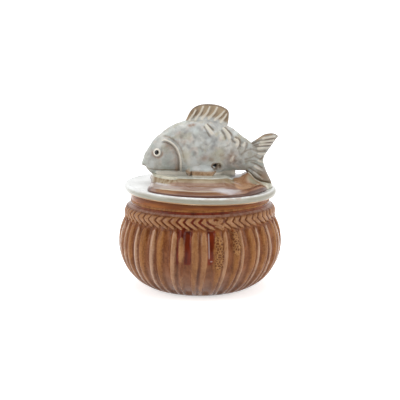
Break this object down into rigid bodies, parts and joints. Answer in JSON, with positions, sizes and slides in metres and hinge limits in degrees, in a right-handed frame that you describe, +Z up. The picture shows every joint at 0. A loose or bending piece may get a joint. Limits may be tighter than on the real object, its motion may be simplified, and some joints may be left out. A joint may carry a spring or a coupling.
{
  "type": "salt cellar",
  "caption": "Round fluted stoneware salt cellar with a braided shoulder band and a loose disc lid that is lifted by a fish-shaped handle.",
  "frame": {"origin": "middle of the foot ring, on the surface that the pot stands on", "axes": "+Z up through the pot, +X from the fish's mouth to its tail, -Y towards the fish's left flank"},
  "size_m": [0.102, 0.102, 0.115],
  "materials": {
    "pot_glaze": "glossy chestnut glaze, tan where it runs thin on the ribs",
    "band_glaze": "glossy tan-brown glaze over a pressed braid",
    "lid_glaze": "glossy white glaze, tan at the edge",
    "bare_clay": "unglazed buff clay",
    "plinth_glaze": "glossy amber-brown glaze",
    "fish_glaze": "mottled grey-white reactive glaze, brown where thin",
    "fin_glaze": "grey-white reactive glaze that breaks to brown on the rays and edges",
    "eye_white": "glossy cream glaze",
    "eye_black": "glossy black glaze"
  },
  "bodies": {
    "pot": {"pot_body": "pot_glaze", "braid_band": "band_glaze"},
    "lid": {"lid_plate": "lid_glaze", "lid_flange": "bare_clay", "fish_plinth": "plinth_glaze", "fish_body": "fish_glaze", "left_gill_cover": "fish_glaze", "right_gill_cover": "fish_glaze", "dorsal_fin": "fin_glaze", "tail_fin": "fin_glaze", "anal_fin": "fin_glaze", "left_pelvic_fin": "fin_glaze", "right_pelvic_fin": "fin_glaze", "left_eye": "eye_white", "right_eye": "eye_white", "left_pupil": "eye_black", "right_pupil": "eye_black"}
  },
  "joints": [
    {"name": "lid_lift", "type": "slide", "parent": "pot", "child": "lid", "axis": [0, 0, 1], "range_m": [0, 0.06]}
  ]
}
